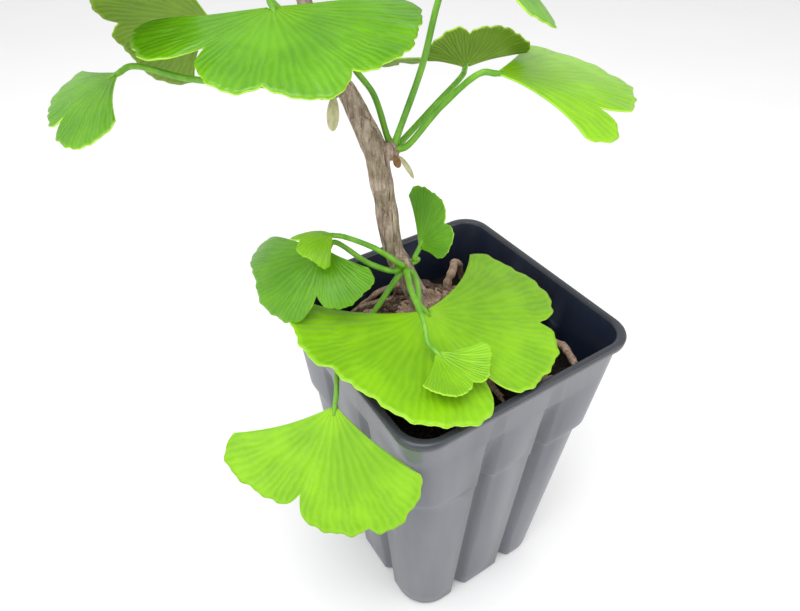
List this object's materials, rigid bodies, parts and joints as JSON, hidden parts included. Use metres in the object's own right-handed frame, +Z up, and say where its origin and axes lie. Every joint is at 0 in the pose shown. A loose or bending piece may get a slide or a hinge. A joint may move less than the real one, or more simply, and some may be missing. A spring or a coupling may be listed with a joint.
{
  "type": "potted ginkgo",
  "caption": "Young ginkgo tree with fan-shaped leaves in tufts on a bare trunk, standing on raised roots in a tall square nursery pot of soil.",
  "frame": {"origin": "centre of the pot's underside, on the surface that the pot stands on", "axes": "+Z up the plant; +X and +Y square to the pot's walls, with the hanging leaf over the -X wall and the large front leaf towards the corner between -X and -Y"},
  "size_m": [0.1615, 0.1371, 0.2989],
  "materials": {
    "pot": "satin",
    "soil": "matte",
    "bark": "matte",
    "root": "matte",
    "leaf": "satin",
    "bud_scale": "matte",
    "pale_scale": "matte"
  },
  "bodies": {
    "root": {"nursery_pot": "pot", "potting_soil": "soil", "trunk": "bark", "root_loop_right": "root", "root_right_low": "root", "root_back_tall": "root", "root_back_cross": "root", "root_back_low": "root", "root_left_fork": "root", "root_left_back": "root", "root_front": "root", "bud_scale_low": "bud_scale", "bud_scale_mid": "bud_scale", "bud_scale_upper": "bud_scale", "bud_scale_top": "bud_scale", "bud_scale_mid_pale": "pale_scale", "bud_scale_upper_pale": "pale_scale", "leaf_low_front": "leaf", "leaf_low_folded": "leaf", "leaf_low_hanging": "leaf", "leaf_low_left": "leaf", "leaf_low_young": "leaf", "leaf_low_upright": "leaf", "leaf_mid_right": "leaf", "leaf_mid_right_back": "leaf", "leaf_mid_inner": "leaf", "leaf_mid_high": "leaf", "leaf_upper_front": "leaf", "leaf_upper_left_back": "leaf", "leaf_upper_far_left": "leaf", "leaf_upper_left_high": "leaf", "leaf_top_back": "leaf", "leaf_top_right": "leaf", "leaf_top_young": "leaf"}
  },
  "joints": []
}
